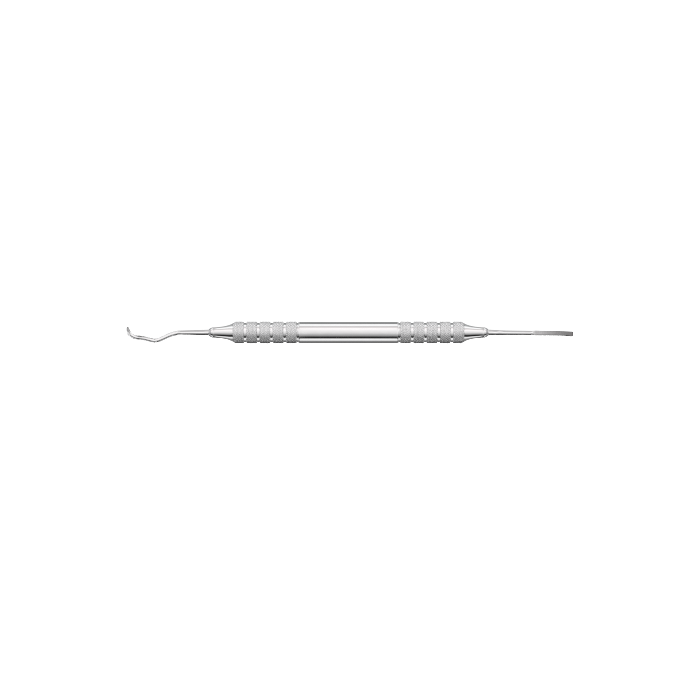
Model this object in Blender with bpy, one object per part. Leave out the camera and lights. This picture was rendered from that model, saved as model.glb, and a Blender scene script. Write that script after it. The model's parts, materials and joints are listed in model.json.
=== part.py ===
"""Double-ended dental elevator with a hollow knurled handle.

The long axis is X: the hooked blade is at -X and the flat chisel blade at +X. Z is up and both
blades bend in the XZ plane. The origin is the centre of the whole instrument's box, on the
handle's axis. Metres throughout; MM turns a size in millimetres into metres.

The handle comes apart into a core tube, three sleeves that slide over it and two nose cones that
plug into its ends. Each nose holds a blade's tang in a bush, locked by a cross pin under the grip
sleeve, and a seal ring closes the tube behind the nose.
"""
import math

import bmesh
import bpy
from mathutils import Matrix, Vector

MM = 0.001

# Places along the handle are measured outward from its middle
HANDLE_CENTRE_X = -0.51 * MM
BARREL_HALF_LENGTH = 19.10 * MM
NOSE_START = 43.70 * MM
NOSE_END = 52.90 * MM

# Fits
SLIDE_FIT = 0.04 * MM
FACE_GAP = 0.05 * MM

# Handle radii, from the outside in
CREST_RADIUS = 4.08 * MM
BARREL_RADIUS = 4.00 * MM
GROOVE_RADIUS = 3.66 * MM
CORE_OUTER_RADIUS = 3.30 * MM
CORE_INNER_RADIUS = 2.80 * MM
SOCKET_RADIUS = 1.70 * MM
TANG_RADIUS = 1.15 * MM

# Grip sleeve
BANDS_PER_SLEEVE = 5
BAND_PITCH = 5.00 * MM
GROOVE_HALF_WIDTH = 0.66 * MM
GROOVE_FLOOR_HALF_WIDTH = 0.30 * MM
NOSE_END_CHAMFER = 0.90 * MM
BARREL_CHAMFER = 0.60 * MM
BARREL_CORNER = 0.15 * MM
BARREL_CORNER_DROP = 0.04 * MM

# Nose cone: a bell that falls exponentially to its slim end, then a rounded lip
NOSE_BASE_RADIUS = 3.61 * MM
NOSE_SLIM_RADIUS = 1.86 * MM
NOSE_BELL_LENGTH = 2.90 * MM
NOSE_LIP_LENGTH = 1.50 * MM
NOSE_LIP_POWER = 1.4
NOSE_MOUTH_RADIUS = 1.22 * MM
NOSE_BELL_STEPS = 11
NOSE_BELL_CROWDING = 1.4
NOSE_LIP_STEPS = 6
SPIGOT_LENGTH = 12.0 * MM
SOCKET_DEPTH = 11.0 * MM

# Seal ring, and its groove round the spigot
SEAL_X = 41.20 * MM
SEAL_GROOVE_RADIUS = 2.20 * MM
SEAL_GROOVE_HALF_WIDTH = 0.40 * MM
SEAL_WIRE_RADIUS = 0.25 * MM

# Cross pin
PIN_X = 36.80 * MM
PIN_RADIUS = 0.50 * MM
PIN_HOLE_RADIUS = 0.54 * MM
PIN_HALF_LENGTH = 3.15 * MM
PIN_CHAMFER = 0.12 * MM
PIN_CHAMFER_ANGLE = math.radians(60)

# Bush and tang
BUSH_START = 33.20 * MM
BUSH_END = 42.60 * MM
TANG_START = 32.60 * MM
TANG_CHAMFER = 0.25 * MM

HANDLE_SIDES = 24
BLADE_SIDES = 16
SEAL_SIDES = 8
PIN_SIDES = 12
STEPS_PER_STATION = 3
SHARP_ANGLE = math.radians(28)
MERGE_DISTANCE = 0.0001 * MM

# How square a blade's section is: an ellipse at 2, squarer above it
ELLIPSE = 2.0

# The hooked blade: outward distance, height, half thickness in the plane of the bends, half width
# across it (mm); every section is an ellipse
CURVED_STATIONS = [
    (53.00, 0.00, 1.10, 1.10),
    (54.80, 0.00, 1.03, 1.03),
    (56.30, 0.00, 0.99, 0.99),
    (58.20, 0.00, 0.94, 0.94),
    (60.40, 0.00, 0.87, 0.87),
    (62.40, 0.00, 0.84, 0.84),
    (65.00, -0.17, 0.83, 0.83),
    (67.60, -0.92, 0.82, 0.82),
    (70.60, -2.26, 0.82, 0.82),
    (72.10, -2.86, 0.82, 0.82),
    (73.30, -3.04, 0.82, 0.82),
    (74.50, -2.88, 0.81, 0.81),
    (76.75, -2.34, 0.81, 0.81),
    (79.00, -1.97, 0.82, 0.93),
    (80.70, -1.82, 0.83, 1.10),
    (82.20, -1.28, 0.87, 1.22),
    (83.05, -0.55, 0.88, 1.20),
    (83.40, 0.45, 0.66, 1.05),
    (83.60, 1.30, 0.46, 0.80),
    (83.68, 1.88, 0.32, 0.50),
    (83.70, 2.08, 0.16, 0.25),
]

# The chisel: outward distance, height, half height of the blade's face, half thickness (mm), and
# how square the section is
CHISEL_STATIONS = [
    (53.00, 0.00, 1.10, 1.10, ELLIPSE),
    (54.80, -0.01, 1.03, 1.03, ELLIPSE),
    (56.30, -0.04, 0.99, 0.99, ELLIPSE),
    (58.60, -0.07, 0.90, 0.90, ELLIPSE),
    (61.00, -0.10, 0.86, 0.86, ELLIPSE),
    (65.00, -0.13, 0.83, 0.83, ELLIPSE),
    (69.00, -0.17, 0.81, 0.80, ELLIPSE),
    (70.80, -0.24, 0.85, 0.66, 2.4),
    (72.80, -0.30, 0.83, 0.50, 4.0),
    (76.40, -0.32, 0.83, 0.42, 6.0),
    (80.60, -0.36, 0.83, 0.36, 6.0),
    (83.00, -0.48, 0.86, 0.32, 6.0),
    (84.40, -0.60, 0.90, 0.28, 6.0),
    (84.95, -0.64, 0.86, 0.14, 4.0),
    (85.08, -0.65, 0.70, 0.09, 3.0),
]

# Colour, roughness, metallic
FINISHES = {
    "polished_steel": ((0.86, 0.86, 0.87), 0.08, 1.0),
    "knurled_steel": ((0.72, 0.72, 0.73), 0.32, 1.0),
    "ground_steel": ((0.78, 0.78, 0.79), 0.22, 1.0),
    "plain_steel": ((0.60, 0.60, 0.61), 0.40, 1.0),
    "bush_brass": ((0.72, 0.55, 0.27), 0.35, 1.0),
    "seal_rubber": ((0.55, 0.12, 0.09), 0.60, 0.0),
}


def clear_scene():
    for old in list(bpy.data.objects):
        bpy.data.objects.remove(old, do_unlink=True)


def make_material(name):
    colour, roughness, metallic = FINISHES[name]
    material = bpy.data.materials.new(name)
    material.use_nodes = True
    shader = material.node_tree.nodes["Principled BSDF"]
    shader.inputs["Base Color"].default_value = (*colour, 1.0)
    shader.inputs["Roughness"].default_value = roughness
    shader.inputs["Metallic"].default_value = metallic
    return material


def add_object(name, bm, finish, parent, location=(0.0, 0.0, 0.0)):
    """Turn a closed bmesh into a smooth-shaded object under its parent."""
    bmesh.ops.recalc_face_normals(bm, faces=bm.faces)
    mesh = bpy.data.meshes.new(name)
    bm.to_mesh(mesh)
    bm.free()
    mesh.shade_smooth()
    mesh.set_sharp_from_angle(angle=SHARP_ANGLE)
    mesh.materials.append(MATERIALS[finish])
    piece = bpy.data.objects.new(name, mesh)
    bpy.context.scene.collection.objects.link(piece)
    piece.parent = parent
    piece.location = location
    return piece


def add_empty(name, location, turn):
    empty = bpy.data.objects.new(name, None)
    bpy.context.scene.collection.objects.link(empty)
    empty.location = location
    empty.rotation_euler.z = turn
    return empty


def turned(outline, sides=HANDLE_SIDES):
    """Spin a closed outline of (x, radius) points about X.

    The facets are tangent to the true radius, and flat facets face up, down and to both sides.
    """
    bm = bmesh.new()
    half_facet = math.pi / sides
    lean = Matrix.Rotation(half_facet, 3, "X")
    points = [lean @ Vector((x, 0.0, radius / math.cos(half_facet))) for x, radius in outline]
    ring = [bm.verts.new(point) for point in points]
    edges = [bm.edges.new((ring[i - 1], ring[i])) for i in range(len(ring))]
    bmesh.ops.spin(
        bm, geom=ring + edges, cent=(0.0, 0.0, 0.0), axis=(1.0, 0.0, 0.0),
        angle=2.0 * math.pi, steps=sides, use_merge=True,
    )
    bmesh.ops.remove_doubles(bm, verts=bm.verts, dist=MERGE_DISTANCE)
    return bm


def cut_pin_hole(piece, parent):
    """Drill the cross pin's hole through a piece, along Y."""
    bm = bmesh.new()
    bmesh.ops.create_cone(
        bm, cap_ends=True, segments=PIN_SIDES, radius1=PIN_HOLE_RADIUS, radius2=PIN_HOLE_RADIUS,
        depth=4.0 * PIN_HALF_LENGTH, matrix=Matrix.Rotation(math.pi / 2.0, 4, "X"),
    )
    cutter = add_object(piece.name + "_pin_cutter", bm, "plain_steel", parent, (PIN_X, 0.0, 0.0))
    cutter.hide_render = True
    cutter.display_type = "WIRE"
    hole = piece.modifiers.new("pin_hole", "BOOLEAN")
    hole.operation = "DIFFERENCE"
    hole.object = cutter


def make_core_tube(parent, ends):
    half_length = NOSE_START - FACE_GAP
    outline = [
        (-half_length, CORE_INNER_RADIUS),
        (half_length, CORE_INNER_RADIUS),
        (half_length, CORE_OUTER_RADIUS),
        (-half_length, CORE_OUTER_RADIUS),
    ]
    tube = add_object("core_tube", turned(outline), "plain_steel", parent)
    for end in ends:
        cut_pin_hole(tube, end)


def make_centre_barrel(parent):
    bore = CORE_OUTER_RADIUS + SLIDE_FIT
    end = BARREL_HALF_LENGTH
    shoulder = end - BARREL_CHAMFER
    corner = shoulder - BARREL_CORNER
    rounded = BARREL_RADIUS - BARREL_CORNER_DROP
    outline = [
        (-end, bore),
        (end, bore),
        (end, GROOVE_RADIUS),
        (shoulder, rounded),
        (corner, BARREL_RADIUS),
        (-corner, BARREL_RADIUS),
        (-shoulder, rounded),
        (-end, GROOVE_RADIUS),
    ]
    add_object("centre_barrel", turned(outline), "polished_steel", parent)


def make_grip_sleeve(name, parent):
    """Five bands at crest radius with a shallow V groove between neighbours."""
    length = NOSE_START - BARREL_HALF_LENGTH - 2.0 * FACE_GAP
    bore = CORE_OUTER_RADIUS + SLIDE_FIT
    outline = [(length, bore), (0.0, bore), (0.0, GROOVE_RADIUS)]
    for band in range(BANDS_PER_SLEEVE):
        start = band * BAND_PITCH
        end = start + BAND_PITCH
        if band > 0:
            outline.append((start + GROOVE_FLOOR_HALF_WIDTH, GROOVE_RADIUS))
        outline.append((start + GROOVE_HALF_WIDTH, CREST_RADIUS))
        if band < BANDS_PER_SLEEVE - 1:
            outline.append((end - GROOVE_HALF_WIDTH, CREST_RADIUS))
            outline.append((end - GROOVE_FLOOR_HALF_WIDTH, GROOVE_RADIUS))
    outline.append((length - NOSE_END_CHAMFER, CREST_RADIUS))
    outline.append((length, NOSE_BASE_RADIUS))
    start_x = BARREL_HALF_LENGTH + FACE_GAP
    add_object(name, turned(outline), "knurled_steel", parent, (start_x, 0.0, 0.0))


def nose_radius(distance):
    """Radius of the nose's outside at a distance from its base."""
    bell = NOSE_SLIM_RADIUS
    bell += (NOSE_BASE_RADIUS - NOSE_SLIM_RADIUS) * math.exp(-distance / NOSE_BELL_LENGTH)
    into_lip = distance - (NOSE_END - NOSE_START - NOSE_LIP_LENGTH)
    if into_lip <= 0.0:
        return bell
    fraction = min(into_lip / NOSE_LIP_LENGTH, 1.0)
    fall = (1.0 - fraction ** NOSE_LIP_POWER) ** (1.0 / NOSE_LIP_POWER)
    return NOSE_MOUTH_RADIUS + (bell - NOSE_MOUTH_RADIUS) * fall


def make_nose_cone(name, parent):
    """Bell-shaped nose with a spigot behind it; local X is zero at the nose's base."""
    length = NOSE_END - NOSE_START
    spigot_radius = CORE_INNER_RADIUS - SLIDE_FIT
    tang_bore = TANG_RADIUS + SLIDE_FIT
    seal = SEAL_X - NOSE_START
    socket_floor = SOCKET_DEPTH - SPIGOT_LENGTH
    outline = [
        (-SPIGOT_LENGTH, SOCKET_RADIUS),
        (-SPIGOT_LENGTH, spigot_radius),
        (seal - SEAL_GROOVE_HALF_WIDTH, spigot_radius),
        (seal - SEAL_GROOVE_HALF_WIDTH, SEAL_GROOVE_RADIUS),
        (seal + SEAL_GROOVE_HALF_WIDTH, SEAL_GROOVE_RADIUS),
        (seal + SEAL_GROOVE_HALF_WIDTH, spigot_radius),
        (0.0, spigot_radius),
    ]
    bell_end = length - NOSE_LIP_LENGTH
    for step in range(NOSE_BELL_STEPS):
        distance = bell_end * (step / NOSE_BELL_STEPS) ** NOSE_BELL_CROWDING
        outline.append((distance, nose_radius(distance)))
    for step in range(NOSE_LIP_STEPS + 1):
        quarter_turn = 0.5 * math.pi * step / NOSE_LIP_STEPS
        distance = bell_end + NOSE_LIP_LENGTH * math.sin(quarter_turn)
        outline.append((distance, nose_radius(distance)))
    outline.append((length, tang_bore))
    outline.append((socket_floor, tang_bore))
    outline.append((socket_floor, SOCKET_RADIUS))
    nose = add_object(name, turned(outline), "polished_steel", parent, (NOSE_START, 0.0, 0.0))
    cut_pin_hole(nose, parent)


def make_tang_bush(name, parent):
    length = BUSH_END - BUSH_START
    outer = SOCKET_RADIUS - SLIDE_FIT
    inner = TANG_RADIUS + SLIDE_FIT
    outline = [(0.0, inner), (length, inner), (length, outer), (0.0, outer)]
    bush = add_object(name, turned(outline), "bush_brass", parent, (BUSH_START, 0.0, 0.0))
    cut_pin_hole(bush, parent)


def make_seal_ring(name, parent):
    outer = CORE_INNER_RADIUS - SLIDE_FIT
    centre = outer - SEAL_WIRE_RADIUS
    outline = []
    for side in range(SEAL_SIDES):
        angle = 2.0 * math.pi * side / SEAL_SIDES
        x = SEAL_WIRE_RADIUS * math.cos(angle)
        outline.append((x, centre + SEAL_WIRE_RADIUS * math.sin(angle)))
    add_object(name, turned(outline), "seal_rubber", parent, (SEAL_X, 0.0, 0.0))


def make_cross_pin(name, parent):
    bm = bmesh.new()
    bmesh.ops.create_cone(
        bm, cap_ends=True, segments=PIN_SIDES, radius1=PIN_RADIUS, radius2=PIN_RADIUS,
        depth=2.0 * PIN_HALF_LENGTH, matrix=Matrix.Rotation(math.pi / 2.0, 4, "X"),
    )
    pin = add_object(name, bm, "plain_steel", parent, (PIN_X, 0.0, 0.0))
    chamfer = pin.modifiers.new("chamfer", "BEVEL")
    chamfer.width = PIN_CHAMFER
    chamfer.segments = 1
    chamfer.limit_method = "ANGLE"
    chamfer.angle_limit = PIN_CHAMFER_ANGLE


def smooth_stations(stations, steps):
    """Add evenly spaced Catmull-Rom stations between the given ones."""
    smooth = []
    for i in range(len(stations) - 1):
        before = stations[max(i - 1, 0)]
        start = stations[i]
        end = stations[i + 1]
        after = stations[min(i + 2, len(stations) - 1)]
        for step in range(steps):
            t = step / steps
            row = []
            for a, b, c, d in zip(before, start, end, after):
                bend = 2.0 * a - 5.0 * b + 4.0 * c - d
                twist = 3.0 * b - a - 3.0 * c + d
                row.append(0.5 * (2.0 * b + (c - a) * t + bend * t * t + twist * t * t * t))
            smooth.append(row)
    smooth.append(stations[-1])
    return smooth


def blade_ring(bm, centre, direction, half_thickness, half_width, power):
    """One closed section across the blade."""
    up = Vector((-direction.z, 0.0, direction.x))
    ring = []
    for side in range(BLADE_SIDES):
        angle = 2.0 * math.pi * (side + 0.5) / BLADE_SIDES
        cosine = math.cos(angle)
        sine = math.sin(angle)
        across = math.copysign(abs(cosine) ** (2.0 / power), cosine) * half_width
        along = math.copysign(abs(sine) ** (2.0 / power), sine) * half_thickness
        ring.append(bm.verts.new(centre + up * along + Vector((0.0, across, 0.0))))
    return ring


def make_blade(name, parent, stations):
    """Loft a tang, shank and blade along stations in the XZ plane."""
    bm = bmesh.new()
    start = TANG_START / MM
    radius = TANG_RADIUS / MM
    chamfer = TANG_CHAMFER / MM
    tang = [
        (start, 0.0, radius - chamfer, radius - chamfer, ELLIPSE),
        (start + chamfer, 0.0, radius, radius, ELLIPSE),
        (NOSE_END / MM, 0.0, radius, radius, ELLIPSE),
    ]
    rows = tang + smooth_stations(stations, STEPS_PER_STATION)
    centres = [Vector((row[0], 0.0, row[1])) * MM for row in rows]
    rings = []
    for i, row in enumerate(rows):
        ahead = centres[min(i + 1, len(rows) - 1)]
        behind = centres[max(i - 1, 0)]
        direction = (ahead - behind).normalized()
        rings.append(blade_ring(bm, centres[i], direction, row[2] * MM, row[3] * MM, row[4]))
    for ring, following in zip(rings, rings[1:]):
        for side in range(BLADE_SIDES):
            after = (side + 1) % BLADE_SIDES
            bm.faces.new((ring[side], ring[after], following[after], following[side]))
    bm.faces.new(rings[0])
    bm.faces.new(rings[-1])
    blade = add_object(name, bm, "ground_steel", parent)
    cut_pin_hole(blade, parent)


clear_scene()
MATERIALS = {name: make_material(name) for name in FINISHES}
handle = add_empty("handle", (HANDLE_CENTRE_X, 0.0, 0.0), 0.0)
curved_end = add_empty("curved_end", (HANDLE_CENTRE_X, 0.0, 0.0), math.pi)
chisel_end = add_empty("chisel_end", (HANDLE_CENTRE_X, 0.0, 0.0), 0.0)

make_core_tube(handle, (curved_end, chisel_end))
make_centre_barrel(handle)
for end_empty in (curved_end, chisel_end):
    make_grip_sleeve(end_empty.name + "_grip_sleeve", end_empty)
    make_nose_cone(end_empty.name + "_nose_cone", end_empty)
    make_tang_bush(end_empty.name + "_tang_bush", end_empty)
    make_seal_ring(end_empty.name + "_seal_ring", end_empty)
    make_cross_pin(end_empty.name + "_cross_pin", end_empty)
hooked_stations = [(*station, ELLIPSE) for station in CURVED_STATIONS]
make_blade("curved_blade_tip", curved_end, hooked_stations)
make_blade("chisel_blade_tip", chisel_end, CHISEL_STATIONS)
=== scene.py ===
"""Looks of the double-ended dental elevator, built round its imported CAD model.

Every steel surface that shows is remade here at full fineness: a turned barrel, grip sleeves
with a cut diamond knurl, bell-shaped noses and two ground blades. X runs from the hooked blade
to the flat blade, Z is up, metres. The hidden parts inside the handle stay as the CAD made them.
"""
import json
import math

import bmesh
import bpy
import numpy as np
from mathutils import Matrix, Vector


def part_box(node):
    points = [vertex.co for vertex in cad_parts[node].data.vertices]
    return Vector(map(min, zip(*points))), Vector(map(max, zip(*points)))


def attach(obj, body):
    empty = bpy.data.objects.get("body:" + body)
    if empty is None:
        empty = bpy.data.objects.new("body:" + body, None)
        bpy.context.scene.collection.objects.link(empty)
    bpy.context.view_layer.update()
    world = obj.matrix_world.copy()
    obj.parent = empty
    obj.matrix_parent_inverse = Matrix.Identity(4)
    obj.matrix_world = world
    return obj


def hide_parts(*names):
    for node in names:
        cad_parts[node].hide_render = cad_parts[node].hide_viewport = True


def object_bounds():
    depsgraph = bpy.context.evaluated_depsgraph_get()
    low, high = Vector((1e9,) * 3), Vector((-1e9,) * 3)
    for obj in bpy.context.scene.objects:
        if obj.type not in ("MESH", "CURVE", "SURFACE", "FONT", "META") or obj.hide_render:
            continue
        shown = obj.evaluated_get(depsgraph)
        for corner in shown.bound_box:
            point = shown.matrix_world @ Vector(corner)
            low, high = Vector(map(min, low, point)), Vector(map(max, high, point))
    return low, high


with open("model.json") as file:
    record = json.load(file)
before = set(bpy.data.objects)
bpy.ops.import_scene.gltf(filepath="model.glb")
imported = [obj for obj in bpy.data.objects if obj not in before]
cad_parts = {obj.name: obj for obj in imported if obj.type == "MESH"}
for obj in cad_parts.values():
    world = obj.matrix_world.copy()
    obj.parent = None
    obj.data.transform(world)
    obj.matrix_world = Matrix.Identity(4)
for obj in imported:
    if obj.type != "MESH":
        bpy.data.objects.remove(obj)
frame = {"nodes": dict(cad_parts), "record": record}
cad_low, cad_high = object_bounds()

MM = 0.001
TAU = 2.0 * math.pi

# Sizes read from the frame. START and END are distances from the handle's middle, R is a radius
barrel_low, barrel_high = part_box("centre_barrel")
sleeve_low, sleeve_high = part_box("chisel_end_grip_sleeve")
nose_low, nose_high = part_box("chisel_end_nose_cone")
core_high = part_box("core_tube")[1]
HANDLE_X = 0.5 * (barrel_low.x + barrel_high.x)
BARREL_HALF = 0.5 * (barrel_high.x - barrel_low.x)
BARREL_R = barrel_high.z
SLEEVE_START = sleeve_low.x - HANDLE_X
SLEEVE_END = sleeve_high.x - HANDLE_X
SPIGOT_END = nose_low.x - HANDLE_X
NOSE_END = nose_high.x - HANDLE_X

# The tooth tops stand a little proud of the CAD's smooth bands, and the bores clear the tube
CREST_PROUD = 0.03 * MM
CREST_R = sleeve_high.z + CREST_PROUD
BORE_GAP = 0.04 * MM
BORE_R = core_high.z + BORE_GAP

# Grip sleeves and barrel: bands between grooves, half widths of a groove's floor and mouth
BANDS = 5
BAND_PITCH = 5.00 * MM
GROOVE_R = 3.66 * MM
GROOVE_FLOOR = 0.42 * MM
GROOVE_HALF = 0.66 * MM
BARREL_SHOULDER = 0.75 * MM
SHOULDER_STEPS = 9

# Noses: outside from base to lip, then the spigot, socket, seal groove and tang inside
NOSE_JOINT = 0.05 * MM
NOSE_START = SLEEVE_END + NOSE_JOINT
NOSE_CHAMFER = 0.90 * MM
NOSE_BASE_R = 3.61 * MM
NOSE_SLIM_R = 1.86 * MM
NOSE_BELL = 2.90 * MM
NOSE_LIP = 1.50 * MM
NOSE_LIP_POWER = 1.4
NOSE_MOUTH_R = 1.22 * MM
NOSE_DULL = 1.05 * MM
BELL_STEPS = 40
LIP_STEPS = 16
SPIGOT_R = 2.76 * MM
SOCKET_R = 1.70 * MM
SOCKET_END = 42.70 * MM
SEAL_X = 41.20 * MM
SEAL_GROOVE_R = 2.20 * MM
SEAL_GROOVE_HALF = 0.40 * MM
TANG_START = 32.60 * MM
TANG_R = 1.15 * MM
TANG_BORE_R = 1.19 * MM

# Diamond knurl: grid cells to a tooth, teeth round the sleeve, teeth along one band's pitch
KNURL_CELLS = 10
KNURL_STARTS = 33
KNURL_PER_PITCH = 4.9
KNURL_DEPTH = 0.04 * MM
# Share of a tooth's width that each flank takes up; the rest is its worn flat top
KNURL_FLANK = 0.22
# The last grid row keeps this many cells off the sleeve's end
KNURL_END_GAP = 0.3
# Rows cut by less than this share of the depth count as turned
UNCUT = 0.01

TURNED_SIDES = 144
BLADE_SIDES = 64

# Edges that bend by more than this many degrees stay sharp
SHARP_TURNED = 28.0
SHARP_KNURL = 18.0
SHARP_BLADE = 24.0


def clamp(value):
    """The value, kept within 0..1."""
    return min(max(value, 0.0), 1.0)


# ---------------------------------------------------------------- materials

# Most of a noise's values lie between these
NOISE_LOW = 0.3
NOISE_HIGH = 0.7
NOISE_ROUGHNESS = 0.55


def new_material(name):
    """A metallic Principled material, with its node tree and its shader."""
    material = bpy.data.materials.new(name)
    material.use_nodes = True
    tree = material.node_tree
    shader = tree.nodes["Principled BSDF"]
    shader.inputs["Metallic"].default_value = 1.0
    return material, tree, shader


def add_node(tree, kind, **settings):
    node = tree.nodes.new(kind)
    for key, value in settings.items():
        setattr(node, key, value)
    return node


def noise(tree, stretch, detail=3.0):
    """Noise over the piece's own coordinates, stretched by a factor along each axis."""
    coordinates = add_node(tree, "ShaderNodeTexCoord")
    mapping = add_node(tree, "ShaderNodeMapping")
    mapping.inputs["Scale"].default_value = stretch
    tree.links.new(coordinates.outputs["Object"], mapping.inputs["Vector"])
    texture = add_node(tree, "ShaderNodeTexNoise")
    texture.inputs["Scale"].default_value = 1.0
    texture.inputs["Detail"].default_value = detail
    texture.inputs["Roughness"].default_value = NOISE_ROUGHNESS
    tree.links.new(mapping.outputs["Vector"], texture.inputs["Vector"])
    return texture.outputs["Fac"]


def map_range(tree, value, start, end, low=0.0, high=1.0):
    """Map a value between start and end onto low..high."""
    node = add_node(tree, "ShaderNodeMapRange")
    node.inputs["From Min"].default_value = start
    node.inputs["From Max"].default_value = end
    node.inputs["To Min"].default_value = low
    node.inputs["To Max"].default_value = high
    tree.links.new(value, node.inputs["Value"])
    return node.outputs["Result"]


def spread(tree, value, low, high):
    """Map a noise onto low..high."""
    return map_range(tree, value, NOISE_LOW, NOISE_HIGH, low, high)


def colour_ramp(tree, value, stops):
    """Colour by a 0..1 value, from stops of (position, colour) in rising order."""
    node = add_node(tree, "ShaderNodeValToRGB")
    elements = node.color_ramp.elements
    elements.remove(elements[1])
    for i, (position, colour) in enumerate(stops):
        element = elements[0] if i == 0 else elements.new(position)
        element.position = position
        element.color = (*colour, 1.0)
    tree.links.new(value, node.inputs["Fac"])
    return node.outputs["Color"]


def tint(tree, value, dark, light):
    """Blend two colours by a noise."""
    return colour_ramp(tree, value, [(NOISE_LOW, dark), (NOISE_HIGH, light)])


def multiply_colours(tree, first, second):
    node = add_node(tree, "ShaderNodeMix", data_type="RGBA", blend_type="MULTIPLY")
    node.inputs["Factor"].default_value = 1.0
    tree.links.new(first, node.inputs["A"])
    tree.links.new(second, node.inputs["B"])
    return node.outputs["Result"]


def blend_colours(tree, factor, first, second):
    node = add_node(tree, "ShaderNodeMix", data_type="RGBA")
    tree.links.new(factor, node.inputs["Factor"])
    tree.links.new(first, node.inputs["A"])
    tree.links.new(second, node.inputs["B"])
    return node.outputs["Result"]


def bump(tree, height, strength, distance):
    node = add_node(tree, "ShaderNodeBump")
    node.inputs["Strength"].default_value = strength
    node.inputs["Distance"].default_value = distance
    tree.links.new(height, node.inputs["Height"])
    return node.outputs["Normal"]


def connect(tree, shader, colour, roughness, normal=None):
    """Feed a shader its colour, its roughness and, where there is one, its normal."""
    tree.links.new(colour, shader.inputs["Base Color"])
    tree.links.new(roughness, shader.inputs["Roughness"])
    if normal is not None:
        tree.links.new(normal, shader.inputs["Normal"])


def polished_steel():
    """Mirror polish: uneven buffing and hairline rings left by turning."""
    material, tree, shader = new_material("polished_steel")
    buffing = noise(tree, (250, 700, 700), detail=4.0)
    hairlines = noise(tree, (9000, 260, 260), detail=2.0)
    connect(
        tree,
        shader,
        tint(tree, buffing, dark=(0.86, 0.86, 0.865), light=(0.90, 0.90, 0.905)),
        spread(tree, buffing, low=0.055, high=0.095),
        bump(tree, hairlines, strength=0.25, distance=0.002 * MM),
    )
    return material


def knurled_steel():
    """Satin teeth: bright worn crests, valleys darkened by painted shade and duller, a blasted
    grain.
    """
    material, tree, shader = new_material("knurled_steel")
    tooth = add_node(tree, "ShaderNodeAttribute", attribute_name="tooth").outputs["Fac"]
    grain = noise(tree, (9000, 9000, 9000), detail=2.0)
    patches = noise(tree, (300, 300, 300))
    # Colour by tooth height: painted shade darkens the valleys, and the crests are bright as if
    # worn
    valley_shade_and_crest_wear = colour_ramp(tree, tooth, [(0.0, (0.20, 0.20, 0.205)), (0.85, (0.95, 0.95, 0.955))])
    wear = tint(tree, patches, dark=(0.93, 0.93, 0.93), light=(1.0, 1.0, 1.0))
    connect(
        tree,
        shader,
        multiply_colours(tree, valley_shade_and_crest_wear, wear),
        map_range(tree, tooth, 0.0, 1.0, low=0.45, high=0.28),
        bump(tree, grain, strength=0.35, distance=0.004 * MM),
    )
    shader.inputs["Metallic"].default_value = 0.50
    shader.inputs["Specular IOR Level"].default_value = 0.0
    return material


def ground_steel():
    """Blade facets off a fine wheel: grinding lines across the blade, darkened towards the tip by
    painted shade.
    """
    material, tree, shader = new_material("ground_steel")
    lines = noise(tree, (14000, 900, 900))
    patches = noise(tree, (900, 900, 900))
    bright = add_node(tree, "ShaderNodeAttribute", attribute_name="brightness").outputs["Fac"]
    wheel = tint(tree, lines, dark=(0.75, 0.75, 0.755), light=(0.98, 0.98, 0.985))
    connect(
        tree,
        shader,
        # The brightness attribute is painted shade that darkens the ground finish towards the
        # blade's tip
        multiply_colours(tree, wheel, bright),
        spread(tree, patches, low=0.20, high=0.30),
        bump(tree, lines, strength=0.4, distance=0.003 * MM),
    )
    return material


def plain_steel():
    """Tube, pins and nose lips: dull, with lengthwise draw lines."""
    material, tree, shader = new_material("plain_steel")
    lines = noise(tree, (400, 9000, 9000))
    connect(
        tree,
        shader,
        tint(tree, lines, dark=(0.52, 0.52, 0.53), light=(0.64, 0.64, 0.65)),
        spread(tree, lines, low=0.34, high=0.46),
    )
    return material


def bush_brass():
    """Turned brass: fine rings round the bush."""
    material, tree, shader = new_material("bush_brass")
    rings = noise(tree, (12000, 500, 500))
    connect(
        tree,
        shader,
        tint(tree, rings, dark=(0.62, 0.45, 0.20), light=(0.76, 0.58, 0.30)),
        spread(tree, rings, low=0.26, high=0.40),
    )
    return material


def seal_rubber():
    """Red seal rubber, faintly mottled."""
    material, tree, shader = new_material("seal_rubber")
    shader.inputs["Metallic"].default_value = 0.0
    mottle = noise(tree, (3000, 3000, 3000))
    connect(
        tree,
        shader,
        tint(tree, mottle, dark=(0.48, 0.09, 0.07), light=(0.60, 0.14, 0.11)),
        spread(tree, mottle, low=0.52, high=0.68),
    )
    return material


MATERIALS = {
    make.__name__: make()
    for make in (polished_steel, knurled_steel, ground_steel, plain_steel, bush_brass, seal_rubber)
}


# ---------------------------------------------------------------- mesh helpers

def add_piece(name, points, faces, slots, node, face_slots, sharp):
    """Make a closed smooth-shaded mesh that stands for a CAD node and rides on the handle."""
    mesh = bpy.data.meshes.new(name)
    mesh.from_pydata(points, [], faces)
    for finish in slots:
        mesh.materials.append(MATERIALS[finish])
    mesh.polygons.foreach_set("material_index", face_slots)
    bm = bmesh.new()
    bm.from_mesh(mesh)
    bmesh.ops.recalc_face_normals(bm, faces=bm.faces)
    bm.to_mesh(mesh)
    bm.free()
    mesh.shade_smooth()
    mesh.set_sharp_from_angle(angle=math.radians(sharp))
    piece = bpy.data.objects.new(name, mesh)
    bpy.context.scene.collection.objects.link(piece)
    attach(piece, "root")
    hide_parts(node)
    return piece


def add_point_values(piece, name, values):
    """Give a piece's points the values that its material reads by name."""
    layer = piece.data.attributes.new(name, "FLOAT", "POINT")
    layer.data.foreach_set("value", values)


def place(side, distance):
    """X of a point at a distance from the handle's middle, on the side +1 or -1."""
    return HANDLE_X + side * distance


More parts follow.
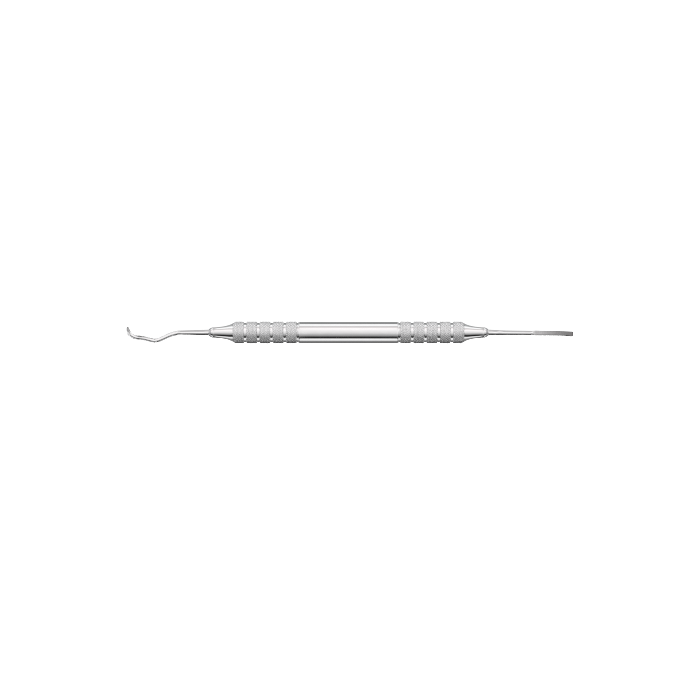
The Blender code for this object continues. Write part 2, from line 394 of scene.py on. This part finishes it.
def turned_piece(name, outline, side, node, slot, dull_from=None):
    """Spin a closed outline of (distance, radius) about the handle's axis.

    Past the distance dull_from, if there is one, the piece is left unpolished.
    """
    count = len(outline)
    points = []
    for turn in range(TURNED_SIDES):
        angle = TAU * (turn + 0.5) / TURNED_SIDES
        for x, radius in outline:
            points.append((place(side, x), radius * math.sin(angle), radius * math.cos(angle)))
    faces = []
    face_slots = []
    for turn in range(TURNED_SIDES):
        here = turn * count
        there = ((turn + 1) % TURNED_SIDES) * count
        for i in range(count):
            j = (i + 1) % count
            faces.append((here + i, here + j, there + j, there + i))
            dull = dull_from is not None and min(outline[i][0], outline[j][0]) >= dull_from
            face_slots.append(1 if dull else 0)
    slots = [slot, "plain_steel"]
    return add_piece(name, points, faces, slots, node, face_slots, SHARP_TURNED)


# ---------------------------------------------------------------- handle

def make_barrel():
    """Smooth centre sleeve with softly rounded shoulders."""
    right = []
    for step in range(SHOULDER_STEPS + 1):
        angle = 0.5 * math.pi * step / SHOULDER_STEPS
        x = BARREL_HALF - BARREL_SHOULDER * (1.0 - math.cos(angle))
        right.append((x, GROOVE_R + (BARREL_R - GROOVE_R) * math.sin(angle)))
    left = [(-x, radius) for x, radius in reversed(right)]
    outline = [(-BARREL_HALF, BORE_R), (BARREL_HALF, BORE_R)] + right + left
    turned_piece("barrel_shell", outline, 1, "centre_barrel", "polished_steel")


def sleeve_radius(x):
    """Radius of the turned sleeve at each distance from the handle's middle, before knurling."""
    from_joint = x - BARREL_HALF
    away = np.abs(from_joint - np.round(from_joint / BAND_PITCH) * BAND_PITCH)
    slope = (CREST_R - GROOVE_R) / (GROOVE_HALF - GROOVE_FLOOR)
    grooves = GROOVE_R + slope * np.clip(away - GROOVE_FLOOR, 0.0, None)
    chamfer = NOSE_BASE_R + (CREST_R - NOSE_BASE_R) / NOSE_CHAMFER * (SLEEVE_END - x)
    return np.where(from_joint > (BANDS - 0.5) * BAND_PITCH, chamfer, grooves)


def knurl_teeth(turn, along):
    """Height of the diamond teeth, 0..1, at grid cells round and along the sleeve."""
    first = (turn[None, :] + along[:, None]) / KNURL_CELLS
    second = (turn[None, :] - along[:, None]) / KNURL_CELLS
    to_first = 0.5 - np.abs(first % 1.0 - 0.5)
    to_second = 0.5 - np.abs(second % 1.0 - 0.5)
    return np.clip(np.minimum(to_first, to_second) / KNURL_FLANK, 0.0, 1.0)


def ridge_triangles(radius):
    """Corners of each cell of a grid that closes round, and the triangles it is split into.

    A cell is split along the diagonal that follows the tooth's ridge or valley.
    """
    rows, steps = radius.shape
    here = np.arange(rows - 1)[:, None] * steps + np.arange(steps)[None, :]
    across = np.roll(here, -1, axis=1)
    corners = np.stack([here, across, across + steps, here + steps], axis=-1).reshape(-1, 4)
    height = radius.ravel()[corners]
    falling = np.abs(height[:, 0] - height[:, 2]) <= np.abs(height[:, 1] - height[:, 3])
    low = np.where(falling[:, None], corners[:, [0, 1, 2]], corners[:, [0, 1, 3]])
    high = np.where(falling[:, None], corners[:, [0, 2, 3]], corners[:, [1, 2, 3]])
    return corners, low.tolist() + high.tolist()


def make_sleeve(name, side, node):
    """Five bands of diamond knurl, cut through by polished grooves."""
    cell = BAND_PITCH / KNURL_PER_PITCH / KNURL_CELLS
    rows = np.arange(BARREL_HALF, SLEEVE_END - KNURL_END_GAP * cell, cell)
    rows[0] = SLEEVE_START
    rows = np.append(rows, SLEEVE_END)
    steps = KNURL_STARTS * KNURL_CELLS
    turn = np.arange(steps)
    tooth = knurl_teeth(turn, (rows - BARREL_HALF) / cell)
    envelope = np.minimum(sleeve_radius(rows), CREST_R)[:, None]
    cut = np.clip((envelope - GROOVE_R) / KNURL_DEPTH, 0.0, 1.0)
    cut[rows > SLEEVE_END - NOSE_CHAMFER] = 1.0
    radius = envelope - cut * KNURL_DEPTH * (1.0 - tooth)
    tooth = np.where(cut < UNCUT, 1.0, tooth)
    turned = np.repeat(cut < UNCUT, steps, axis=1)

    angle = TAU * turn / steps
    x = np.repeat(place(side, rows)[:, None], steps, axis=1)
    outer = np.stack([x, radius * np.sin(angle), radius * np.cos(angle)], axis=-1).reshape(-1, 3)
    ring = np.stack([np.zeros(steps), BORE_R * np.sin(angle), BORE_R * np.cos(angle)], axis=-1)
    near_ring = ring + [place(side, SLEEVE_START), 0.0, 0.0]
    far_ring = ring + [place(side, SLEEVE_END), 0.0, 0.0]
    points = np.concatenate([outer, near_ring, far_ring])

    corners, faces = ridge_triangles(radius)
    polished = turned.ravel()[corners].any(axis=1)
    face_slots = np.concatenate([polished, polished]).astype(int).tolist()

    # Two end faces and the bore close the mesh
    last = (len(rows) - 1) * steps
    near = len(rows) * steps
    far = near + steps
    for j in range(steps):
        k = (j + 1) % steps
        faces += [(j, k, near + k, near + j), (last + j, last + k, far + k, far + j)]
        faces.append((near + j, near + k, far + k, far + j))
        face_slots += [1, 1, 1]
    slots = ["knurled_steel", "polished_steel"]
    points = points.tolist()
    piece = add_piece(name, points, faces, slots, node, face_slots, SHARP_KNURL)
    heights = np.concatenate([tooth.ravel(), np.ones(2 * steps)]).astype(np.float32)
    add_point_values(piece, "tooth", heights)


def nose_radius(distance):
    """Radius of the nose's outside at a distance from its base: a bell, then a rounded lip."""
    bell = NOSE_SLIM_R + (NOSE_BASE_R - NOSE_SLIM_R) * math.exp(-distance / NOSE_BELL)
    into_lip = distance - (NOSE_END - NOSE_START - NOSE_LIP)
    if into_lip <= 0.0:
        return bell
    fraction = min(into_lip / NOSE_LIP, 1.0)
    fall = (1.0 - fraction ** NOSE_LIP_POWER) ** (1.0 / NOSE_LIP_POWER)
    return NOSE_MOUTH_R + (bell - NOSE_MOUTH_R) * fall


def make_nose(name, side, node):
    """Bell-shaped nose with a dull lip, on a spigot that carries the seal's groove."""
    outline = [
        (SPIGOT_END, SOCKET_R),
        (SPIGOT_END, SPIGOT_R),
        (SEAL_X - SEAL_GROOVE_HALF, SPIGOT_R),
        (SEAL_X - SEAL_GROOVE_HALF, SEAL_GROOVE_R),
        (SEAL_X + SEAL_GROOVE_HALF, SEAL_GROOVE_R),
        (SEAL_X + SEAL_GROOVE_HALF, SPIGOT_R),
        (NOSE_START, SPIGOT_R),
    ]
    bell_length = NOSE_END - NOSE_START - NOSE_LIP
    distances = [bell_length * step / BELL_STEPS for step in range(BELL_STEPS)]
    for step in range(LIP_STEPS + 1):
        distances.append(bell_length + NOSE_LIP * math.sin(0.5 * math.pi * step / LIP_STEPS))
    outline += [(NOSE_START + distance, nose_radius(distance)) for distance in distances]
    outline += [(NOSE_END, TANG_BORE_R), (SOCKET_END, TANG_BORE_R), (SOCKET_END, SOCKET_R)]
    turned_piece(name, outline, side, node, "polished_steel", NOSE_END - NOSE_DULL)


# ---------------------------------------------------------------- blades

# Columns of a station: distance out from the handle's middle, height, half thickness in the plane
# of the bends and half width across it (mm), how far the round section has turned into the
# blade's own, and brightness (0..1): painted shade on the ground finish, darker towards the tip
DISTANCE, HEIGHT, HALF_UP, HALF_ACROSS, GROUND, BRIGHTNESS = range(6)
HOOK_STATIONS = [
    (53.00, 0.00, 1.10, 1.10, 0.0, 1.0),
    (54.80, 0.00, 1.03, 1.03, 0.0, 1.0),
    (56.30, 0.00, 0.99, 0.99, 0.0, 1.0),
    (58.20, 0.00, 0.94, 0.94, 0.0, 1.0),
    (60.40, 0.00, 0.88, 0.88, 0.0, 1.0),
    (62.40, -0.03, 0.85, 0.85, 0.0, 1.0),
    (64.00, -0.09, 0.84, 0.84, 0.0, 1.0),
    (65.30, -0.26, 0.84, 0.84, 0.0, 1.0),
    (67.60, -0.93, 0.82, 0.82, 0.0, 1.0),
    (70.60, -2.26, 0.82, 0.82, 0.0, 1.0),
    (72.20, -2.86, 0.82, 0.82, 0.0, 1.0),
    (73.60, -3.02, 0.82, 0.82, 0.0, 1.0),
    (74.90, -2.82, 0.81, 0.81, 0.0, 1.0),
    (76.75, -2.34, 0.81, 0.81, 0.0, 1.0),
    (79.00, -1.95, 0.82, 0.93, 0.0, 1.0),
    (80.70, -1.78, 0.81, 1.10, 0.2, 1.0),
    (82.20, -1.22, 0.80, 1.20, 0.6, 0.80),
    (83.00, -0.50, 0.80, 1.15, 0.9, 0.62),
    (83.40, 0.45, 0.62, 1.00, 1.0, 0.46),
    (83.60, 1.30, 0.46, 0.78, 1.0, 0.46),
    (83.68, 1.88, 0.32, 0.50, 1.0, 0.46),
    (83.70, 2.08, 0.16, 0.25, 1.0, 0.46),
]
FLAT_STATIONS = [
    (53.00, 0.00, 1.10, 1.10, 0.0, 1.0),
    (54.80, -0.01, 1.03, 1.03, 0.0, 1.0),
    (56.30, -0.04, 0.99, 0.99, 0.0, 1.0),
    (58.60, -0.07, 0.90, 0.90, 0.0, 1.0),
    (61.00, -0.10, 0.86, 0.86, 0.0, 1.0),
    (65.00, -0.13, 0.83, 0.83, 0.0, 1.0),
    (69.00, -0.17, 0.81, 0.80, 0.0, 1.0),
    (70.80, -0.21, 0.85, 0.62, 0.9, 0.59),
    (72.80, -0.25, 0.82, 0.50, 1.0, 0.55),
    (76.40, -0.27, 0.82, 0.42, 1.0, 0.44),
    (80.60, -0.33, 0.83, 0.36, 1.0, 0.31),
    (83.00, -0.46, 0.86, 0.32, 1.0, 0.25),
    (84.40, -0.59, 0.90, 0.28, 1.0, 0.23),
    (84.95, -0.63, 0.86, 0.14, 1.0, 0.14),
    (85.08, -0.64, 0.70, 0.09, 1.0, 0.14),
]
STATION_STEPS = 8
# A face counts as ground once the section has turned by this much into the blade's own
GROUND_FROM = 0.35

# The tang hidden in the nose: its tip's share of the full radius, and the tip's length (mm)
TANG_TIP_SHARE = 0.9
TANG_TIP = 0.25

# A blade's corners lie in pairs at the odd eighths of the way round, mostly one loft side off
EIGHTH = 1.0 / 8.0
NEAR = 1.0 / BLADE_SIDES

# The flat blade's edge chamfer, as a share of its half width across the view
FLAT_CHAMFER = 0.25
# The flat blade's lean: the distance from which it grows and the length it grows over (mm), its
# first angle and what it gains by the tip (degrees)
LEAN_START = 69.0
LEAN_LENGTH = 16.0
LEAN_FIRST = 10.0
LEAN_MORE = 9.0

# The hook's section: share of the way round, then up and across as shares of the half sizes
HOOK_CORNERS = [
    (EIGHTH - NEAR, 0.80, 1.0),
    (EIGHTH + NEAR, 1.0, 0.88),
    (3 * EIGHTH - NEAR, 1.0, -0.88),
    (3 * EIGHTH + NEAR, 0.80, -1.0),
    (5 * EIGHTH - NEAR, -0.05, -0.95),
    (5 * EIGHTH + 3 * NEAR, -1.0, -0.40),
    (7 * EIGHTH - 3 * NEAR, -1.0, 0.40),
    (7 * EIGHTH + NEAR, -0.05, 0.95),
]
# Painted shade: a small dark ground patch on the hook's inside edge: distances (mm), shares of the
# way round
SHADE_PATCH_X = (78.25, 80.05)
SHADE_PATCH_SHARE = (0.35, 0.45)
SHADE_PATCH_BRIGHTNESS = 0.28
# Heights (mm) between which the flats ground on the hook's sides open, and how far each then
# reaches either way from its middle, as a share of the way round
FLAT_HEIGHTS = (-1.10, 1.00)
FLAT_SHARE = 0.18
# The inside face's middle, its reach either way, and how far the flats have opened where it starts
INSIDE_MIDDLE = 0.25
INSIDE_SHARE = 0.11
INSIDE_OPENED = 0.5


def smooth_stations(stations):
    """Catmull-Rom stations between the given ones."""
    smooth = []
    for i in range(len(stations) - 1):
        before = stations[max(i - 1, 0)]
        after = stations[min(i + 2, len(stations) - 1)]
        for step in range(STATION_STEPS):
            t = step / STATION_STEPS
            row = []
            for a, b, c, d in zip(before, stations[i], stations[i + 1], after):
                bend = 2.0 * a - 5.0 * b + 4.0 * c - d
                twist = 3.0 * b - a - 3.0 * c + d
                row.append(0.5 * (2.0 * b + (c - a) * t + bend * t * t + twist * t * t * t))
            smooth.append(row)
    smooth.append(list(stations[-1]))
    return smooth


def ellipse_section(half_up, half_across):
    """Points (up, across) of an ellipse, anticlockwise from straight across."""
    section = []
    for side in range(BLADE_SIDES):
        angle = TAU * side / BLADE_SIDES
        section.append((half_up * math.sin(angle), half_across * math.cos(angle)))
    return section


def corner_section(corners):
    """Points evenly spaced between corners given as (share of the way round, up, across)."""
    section = []
    ends = corners[1:] + [(corners[0][0] + 1.0, corners[0][1], corners[0][2])]
    for side in range(BLADE_SIDES):
        share = side / BLADE_SIDES
        if share < corners[0][0]:
            share += 1.0
        for start, end in zip(corners, ends):
            if start[0] <= share < end[0]:
                t = (share - start[0]) / (end[0] - start[0])
                up = start[1] + (end[1] - start[1]) * t
                across = start[2] + (end[2] - start[2]) * t
                section.append((up, across))
                break
    return section


def flat_blade_section(half_up, half_across):
    """A slim bar with chamfered edges."""
    chamfer = FLAT_CHAMFER * half_across
    inner = half_up - chamfer
    thin = half_across - chamfer
    return corner_section([
        (EIGHTH - NEAR, inner, half_across),
        (EIGHTH + NEAR, half_up, thin),
        (3 * EIGHTH - NEAR, half_up, -thin),
        (3 * EIGHTH + NEAR, inner, -half_across),
        (5 * EIGHTH - NEAR, -inner, -half_across),
        (5 * EIGHTH + NEAR, -half_up, -thin),
        (7 * EIGHTH - NEAR, -half_up, thin),
        (7 * EIGHTH + NEAR, -inner, half_across),
    ])


def hook_blade_section(half_up, half_across):
    """A leaf: flat face on the inside of the hook, two ground flanks and a narrow back."""
    return corner_section([
        (share, up * half_up, across * half_across) for share, up, across in HOOK_CORNERS
    ])


# What each blade does at a station: how it leans in radians and, at a share of the way round,
# whether it is ground and how bright its painted shade leaves the ground finish

def in_shade_patch(row, share):
    """Whether a point of the hook lies in the small patch of painted shade on its inside edge."""
    in_reach = SHADE_PATCH_X[0] < row[DISTANCE] < SHADE_PATCH_X[1]
    return in_reach and SHADE_PATCH_SHARE[0] < share < SHADE_PATCH_SHARE[1]


def hook_is_ground(row, share):
    """Whether a point lies in the patch of painted shade or on the ground faces, which end at the
    heel.
    """
    if in_shade_patch(row, share):
        return True
    if row[GROUND] < GROUND_FROM:
        return False
    opened = (row[HEIGHT] - FLAT_HEIGHTS[0]) / (FLAT_HEIGHTS[1] - FLAT_HEIGHTS[0])
    on_side = min(abs(share - 0.5), share, 1.0 - share) < FLAT_SHARE * clamp(opened)
    on_inside = abs(share - INSIDE_MIDDLE) < INSIDE_SHARE and opened > INSIDE_OPENED
    return on_side or on_inside


def hook_brightness(row, share):
    # The patch of painted shade is darker than the station's own brightness
    return SHADE_PATCH_BRIGHTNESS if in_shade_patch(row, share) else row[BRIGHTNESS]


def no_lean(row):
    return 0.0


def flat_is_ground(row, share):
    return row[GROUND] > GROUND_FROM


def flat_brightness(row, share):
    return row[BRIGHTNESS]


def flat_lean(row):
    """The flat blade leans more and more towards its tip."""
    share = clamp((row[DISTANCE] - LEAN_START) / LEAN_LENGTH)
    return math.radians(LEAN_FIRST + LEAN_MORE * share) * clamp(row[GROUND])


def loft_ring(row, own_section, turn):
    """Points (up, across) of a station's section, turned about the path by so many radians."""
    change = clamp(row[GROUND])
    change = change * change * (3.0 - 2.0 * change)
    plain = ellipse_section(row[HALF_UP] * MM, row[HALF_ACROSS] * MM)
    ground = own_section(row[HALF_UP] * MM, row[HALF_ACROSS] * MM)
    cos, sin = math.cos(turn), math.sin(turn)
    ring = []
    for (u0, a0), (u1, a1) in zip(plain, ground):
        u = u0 + (u1 - u0) * change
        a = a0 + (a1 - a0) * change
        ring.append((u * cos - a * sin, u * sin + a * cos))
    return ring


def make_blade(name, side, node, stations, own_section, lean, is_ground, brightness):
    """Loft a tang, shank and blade through its stations.

    lean gives the section's turn about the path; is_ground gives the finish and brightness the
    painted shade at a share of the way round a station.
    """
    # The tang's stations come first, in millimetres like the others
    tang_start, tang_r, nose_end = TANG_START / MM, TANG_R / MM, NOSE_END / MM
    rows = [
        (tang_start, 0.0, TANG_TIP_SHARE * tang_r, TANG_TIP_SHARE * tang_r, 0.0, 1.0),
        (tang_start + TANG_TIP, 0.0, tang_r, tang_r, 0.0, 1.0),
        (nose_end, 0.0, tang_r, tang_r, 0.0, 1.0),
    ]
    rows += smooth_stations(stations)
    centres = [Vector((place(side, row[DISTANCE] * MM), 0.0, row[HEIGHT] * MM)) for row in rows]
    across = Vector((0.0, 1.0, 0.0))
    points = []
    faces = []
    face_slots = []
    bright = []
    for i, row in enumerate(rows):
        ahead = centres[min(i + 1, len(rows) - 1)]
        behind = centres[max(i - 1, 0)]
        direction = (ahead - behind).normalized()
        up = Vector((-direction.z, 0.0, direction.x)) * side
        for u, a in loft_ring(row, own_section, lean(row)):
            points.append(tuple(centres[i] + up * u + across * a))
        # Painted shade per point: the station's brightness, lower towards the tip
        bright += [brightness(row, j / BLADE_SIDES) for j in range(BLADE_SIDES)]
        if i == 0:
            continue
        here = i * BLADE_SIDES
        back = here - BLADE_SIDES
        for j in range(BLADE_SIDES):
            k = (j + 1) % BLADE_SIDES
            faces.append((back + j, back + k, here + k, here + j))
            face_slots.append(1 if is_ground(row, (j + 0.5) / BLADE_SIDES) else 0)
    last = (len(rows) - 1) * BLADE_SIDES
    faces.append(tuple(range(BLADE_SIDES)))
    faces.append(tuple(range(last, last + BLADE_SIDES)))
    face_slots += [0, 1]
    slots = ["polished_steel", "ground_steel"]
    piece = add_piece(name, points, faces, slots, node, face_slots, SHARP_BLADE)
    add_point_values(piece, "brightness", bright)


make_barrel()
for end, side in (("curved_end", -1), ("chisel_end", 1)):
    make_sleeve(end + "_knurled_grip", side, end + "_grip_sleeve")
    make_nose(end + "_nose", side, end + "_nose_cone")
make_blade(
    "hooked_blade", -1, "curved_blade_tip", HOOK_STATIONS,
    hook_blade_section, no_lean, hook_is_ground, hook_brightness,
)
make_blade(
    "flat_blade", 1, "chisel_blade_tip", FLAT_STATIONS,
    flat_blade_section, flat_lean, flat_is_ground, flat_brightness,
)

# The hidden parts keep their CAD shape and get their finish
finishes = {subpart["node"]: subpart["material_slot"] for subpart in frame["record"]["subparts"]}
for node_name, node_object in frame["nodes"].items():
    if node_name in finishes and not node_object.hide_render:
        node_object.data.materials.clear()
        node_object.data.materials.append(MATERIALS[finishes[node_name]])


# ---------------------------------------------------------------- studio

# What the steel reflects, by angle about X: 0 faces the camera, 90 is overhead, -90 below.
# Each entry is an angle, a display brightness and a warm tint. In front and overhead the handle
# and the noses share their pale cards
FRONT_CARDS = [
    (-22.0, 0.69, 0.0),
    (-11.0, 0.80, 0.002),
    (0.0, 0.865, 0.006),
    (22.0, 0.94, 0.008),
    (34.0, 0.985, 0.010),
    (46.0, 0.99, 0.015),
    (55.0, 0.87, 0.020),
    (63.0, 0.77, 0.016),
    (71.0, 0.78, 0.010),
    (77.0, 0.98, 0.0),
    (102.0, 0.985, -0.001),
]
# Along the handle: a narrow black flag low in front, grey below and behind
HANDLE_CARDS = [
    (-180.0, 0.85, 0.0),
    (-169.0, 0.80, 0.0),
    (-161.0, 0.42, 0.0),
    (-143.0, 0.40, 0.0),
    (-118.0, 0.42, 0.0),
    (-104.0, 0.72, 0.0),
    (-95.0, 0.90, 0.0),
    (-78.0, 0.97, 0.0),
    (-69.0, 0.66, 0.0),
    (-63.0, 0.16, 0.0),
    (-52.0, 0.13, 0.0),
    (-44.0, 0.36, 0.0),
    (-36.0, 0.58, 0.0),
    *FRONT_CARDS,
    (109.0, 0.58, -0.005),
    (117.0, 0.52, -0.006),
    (158.0, 0.58, -0.006),
    (168.0, 0.82, 0.0),
    (180.0, 0.85, 0.0),
]
# Off to the sides, for the noses and the sloping shank: a wider flag and a paler rear
WIDE_CARDS = [
    (-180.0, 0.85, 0.0),
    (-169.0, 0.80, 0.0),
    (-161.0, 0.54, 0.0),
    (-118.0, 0.50, 0.0),
    (-105.0, 0.70, 0.0),
    (-97.0, 0.90, 0.0),
    (-86.0, 0.95, 0.0),
    (-78.0, 0.62, 0.0),
    (-72.0, 0.15, 0.0),
    (-52.0, 0.12, 0.0),
    (-44.0, 0.34, 0.0),
    (-36.0, 0.57, 0.0),
    *FRONT_CARDS,
    (109.0, 0.72, -0.005),
    (117.0, 0.66, -0.006),
    (158.0, 0.66, -0.006),
    (168.0, 0.82, 0.0),
    (180.0, 0.85, 0.0),
]
# On the narrow stands, for the shanks: one bright card in front and dark below and behind
SHANK_CARDS = [
    (-180.0, 0.60, 0.0),
    (-150.0, 0.52, 0.0),
    (-130.0, 0.28, 0.0),
    (-85.0, 0.24, 0.0),
    (-66.0, 0.44, 0.0),
    (-45.0, 0.60, 0.0),
    (-25.0, 0.74, 0.002),
    (-14.0, 0.97, 0.006),
    (14.0, 1.0, 0.006),
    (26.0, 0.86, 0.006),
    (38.0, 0.74, 0.006),
    (130.0, 0.72, 0.004),
    (180.0, 0.62, 0.0),
]
# Light that falls on matt surfaces: a big softbox above and in front, dark below, pale behind
SOFTBOX = [
    (-180.0, 1.05, 0.0),
    (-160.0, 0.10, 0.0),
    (-30.0, 0.03, 0.0),
    (0.0, 0.25, 0.0),
    (14.0, 1.36, 0.0),
    (52.0, 1.36, 0.0),
    (62.0, 0.65, 0.0),
    (78.0, 0.24, 0.0),
    (115.0, 0.24, 0.0),
    (150.0, 0.80, 0.0),
    (180.0, 1.05, 0.0),
]
# The cards are brighter by what the steel swallows
STEEL_GAIN = 0.88

# How far a reflection looks along the handle, 0 square to it and 1 straight along: where the
# handle's cards give way to the wide ones, and where those give way to the end walls
WIDE_FROM = (0.12, 0.20)
WALLS_FROM = (0.90, 0.99)
# The narrow stands on each side: how far along, and share of the shanks' cards
STANDS = ((0.0725, 0.0), (0.078, 1.0), (0.14, 1.0), (0.17, 0.0))
# The end walls: share of the way from the hook's end to the flat blade's, and brightness
END_WALLS = ((0.1, 0.90), (0.9, 0.30))

# Just past white, so that the picture's ground is even
BACKDROP_STRENGTH = 1.1

# The floor's half side in metres, its gap below the part, and the glow that evens out shadow
FLOOR_HALF = 4.0
FLOOR_GAP = 0.02 * MM
FLOOR_GLOW = 0.80

# Overhead lamp: size across and along the view in metres, watts, and place
LAMP_SIZE = (0.9, 0.6)
LAMP_POWER = 0.3
LAMP_PLACE = (-0.15, -0.25, 0.8)

# Camera: lens and sensor (mm), width of the view at the part, the picture's width and how far
# the handle's axis lies above the middle of it (pixels), and the view's shift along X
LENS = 100.0
SENSOR = 36.0
VIEW_WIDTH = 265.3 * MM
PICTURE_WIDTH = 700.0
AXIS_ABOVE_MIDDLE = 17.5
CAMERA_X = 0.06 * MM
CLIP_START = 0.01
CLIP_END = 50.0


def linear(display):
    """Scene brightness of a display value, by the sRGB curve."""
    if display <= 0.04045:
        return display / 12.92
    return ((display + 0.055) / 1.055) ** 2.4


def card_ramp(tree, share, cards):
    """Cards by share of the way round X, from -180 to 180 degrees."""
    stops = []
    for degrees, display, warmth in cards:
        channels = [linear(display + shift) / STEEL_GAIN for shift in (warmth, 0.0, 0.0)]
        stops.append(((degrees + 180.0) / 360.0, channels))
    return colour_ramp(tree, share, stops)


def grey_ramp(tree, value, stops):
    """Grey by a 0..1 value, from stops of (position, brightness)."""
    return colour_ramp(tree, value, [(position, (grey,) * 3) for position, grey in stops])


def background(tree, colour=None, strength=1.0):
    """A background of a linked colour, or plain white."""
    node = add_node(tree, "ShaderNodeBackground")
    node.inputs["Color"].default_value = (1.0, 1.0, 1.0, 1.0)
    node.inputs["Strength"].default_value = strength
    if colour is not None:
        tree.links.new(colour, node.inputs["Color"])
    return node.outputs["Background"]


def choose_shader(tree, factor, first, second):
    """The first shader where the factor is 0, the second where it is 1."""
    node = add_node(tree, "ShaderNodeMixShader")
    tree.links.new(factor, node.inputs["Fac"])
    tree.links.new(first, node.inputs[1])
    tree.links.new(second, node.inputs[2])
    return node.outputs["Shader"]


def make_world():
    """White to the camera, cards and a flag to reflections, a softbox to matt surfaces."""
    world = bpy.data.worlds.new("studio")
    bpy.context.scene.world = world
    world.use_nodes = True
    world.cycles.sampling_method = "NONE"
    tree = world.node_tree
    links = tree.links
    tree.nodes.clear()
    where = add_node(tree, "ShaderNodeTexCoord")
    axes = add_node(tree, "ShaderNodeSeparateXYZ")
    links.new(where.outputs["Generated"], axes.inputs["Vector"])
    towards = add_node(tree, "ShaderNodeMath", operation="MULTIPLY")
    towards.inputs[1].default_value = -1.0
    links.new(axes.outputs["Y"], towards.inputs[0])
    angle = add_node(tree, "ShaderNodeMath", operation="ARCTAN2")
    links.new(axes.outputs["Z"], angle.inputs[0])
    links.new(towards.outputs["Value"], angle.inputs[1])
    round_x = map_range(tree, angle.outputs["Value"], -math.pi, math.pi)
    sideways = add_node(tree, "ShaderNodeMath", operation="ABSOLUTE")
    links.new(axes.outputs["X"], sideways.inputs[0])
    along = sideways.outputs["Value"]

    # Reflections: the handle's cards, the wide cards to the sides, and on each side a narrow
    # stand that holds the shanks' cards and a plain wall far round
    off_axis = map_range(tree, along, *WIDE_FROM)
    stand = grey_ramp(tree, along, STANDS)
    at_ends = map_range(tree, along, *WALLS_FROM)
    end_to_end = map_range(tree, axes.outputs["X"], -1.0, 1.0)
    end_wall = grey_ramp(tree, end_to_end, END_WALLS)
    cards = card_ramp(tree, round_x, HANDLE_CARDS)
    cards = blend_colours(tree, off_axis, cards, card_ramp(tree, round_x, WIDE_CARDS))
    cards = blend_colours(tree, stand, cards, card_ramp(tree, round_x, SHANK_CARDS))
    cards = blend_colours(tree, at_ends, cards, end_wall)

    rays = add_node(tree, "ShaderNodeLightPath")
    softbox = background(tree, card_ramp(tree, round_x, SOFTBOX))
    lit = choose_shader(tree, rays.outputs["Is Glossy Ray"], softbox, background(tree, cards))
    backdrop = background(tree, strength=BACKDROP_STRENGTH)
    seen = choose_shader(tree, rays.outputs["Is Camera Ray"], lit, backdrop)
    output = add_node(tree, "ShaderNodeOutputWorld")
    links.new(seen, output.inputs["Surface"])


def make_floor():
    """Plain pale paper just below the part, out of sight of its reflections."""
    mesh = bpy.data.meshes.new("floor")
    half = FLOOR_HALF
    z = cad_low.z - FLOOR_GAP
    corners = [(-half, -half, z), (half, -half, z), (half, half, z), (-half, half, z)]
    mesh.from_pydata(corners, [], [(0, 1, 2, 3)])
    floor = bpy.data.objects.new("floor", mesh)
    bpy.context.scene.collection.objects.link(floor)
    material, tree, shader = new_material("pale_paper")
    shader.inputs["Metallic"].default_value = 0.0
    shader.inputs["Specular IOR Level"].default_value = 0.0
    shader.inputs["Roughness"].default_value = 0.9
    shader.inputs["Emission Color"].default_value = (1.0, 1.0, 1.0, 1.0)
    shader.inputs["Emission Strength"].default_value = FLOOR_GLOW
    fibres = noise(tree, (40, 40, 40))
    colour = tint(tree, fibres, dark=(0.90, 0.90, 0.90), light=(0.94, 0.94, 0.94))
    tree.links.new(colour, shader.inputs["Base Color"])
    material.cycles.emission_sampling = "NONE"
    mesh.materials.append(material)
    floor.visible_glossy = False
    floor.visible_diffuse = False


def make_key_light():
    """One broad soft light overhead, for the floor's shading."""
    light = bpy.data.lights.new("overhead_softbox", "AREA")
    light.shape = "RECTANGLE"
    light.size, light.size_y = LAMP_SIZE
    light.energy = LAMP_POWER
    lamp = bpy.data.objects.new("overhead_softbox", light)
    bpy.context.scene.collection.objects.link(lamp)
    lamp.location = LAMP_PLACE
    aim = Vector((0.0, 0.0, 0.0)) - lamp.location
    lamp.rotation_euler = aim.to_track_quat("-Z", "Y").to_euler()
    lamp.visible_glossy = False


def make_camera():
    """Level with the handle's axis and square to it, tilted down by half a degree."""
    distance = VIEW_WIDTH * LENS / SENSOR
    above_middle = AXIS_ABOVE_MIDDLE / PICTURE_WIDTH * VIEW_WIDTH
    data = bpy.data.cameras.new("camera")
    data.lens = LENS
    data.sensor_width = SENSOR
    data.dof.use_dof = False
    data.clip_start = CLIP_START
    data.clip_end = CLIP_END
    camera = bpy.data.objects.new("camera", data)
    bpy.context.scene.collection.objects.link(camera)
    camera.location = (CAMERA_X, -distance, 0.0)
    camera.rotation_euler = (math.pi / 2.0 - math.atan(above_middle / distance), 0.0, 0.0)
    bpy.context.scene.camera = camera


make_world()
make_floor()
make_key_light()
make_camera()
bpy.context.scene.view_settings.view_transform = "Standard"
# The knurl's fine cross-hatch is lost to a wider filter or to denoising
bpy.context.scene.cycles.pixel_filter_type = "BOX"
bpy.context.scene.cycles.use_denoising = False
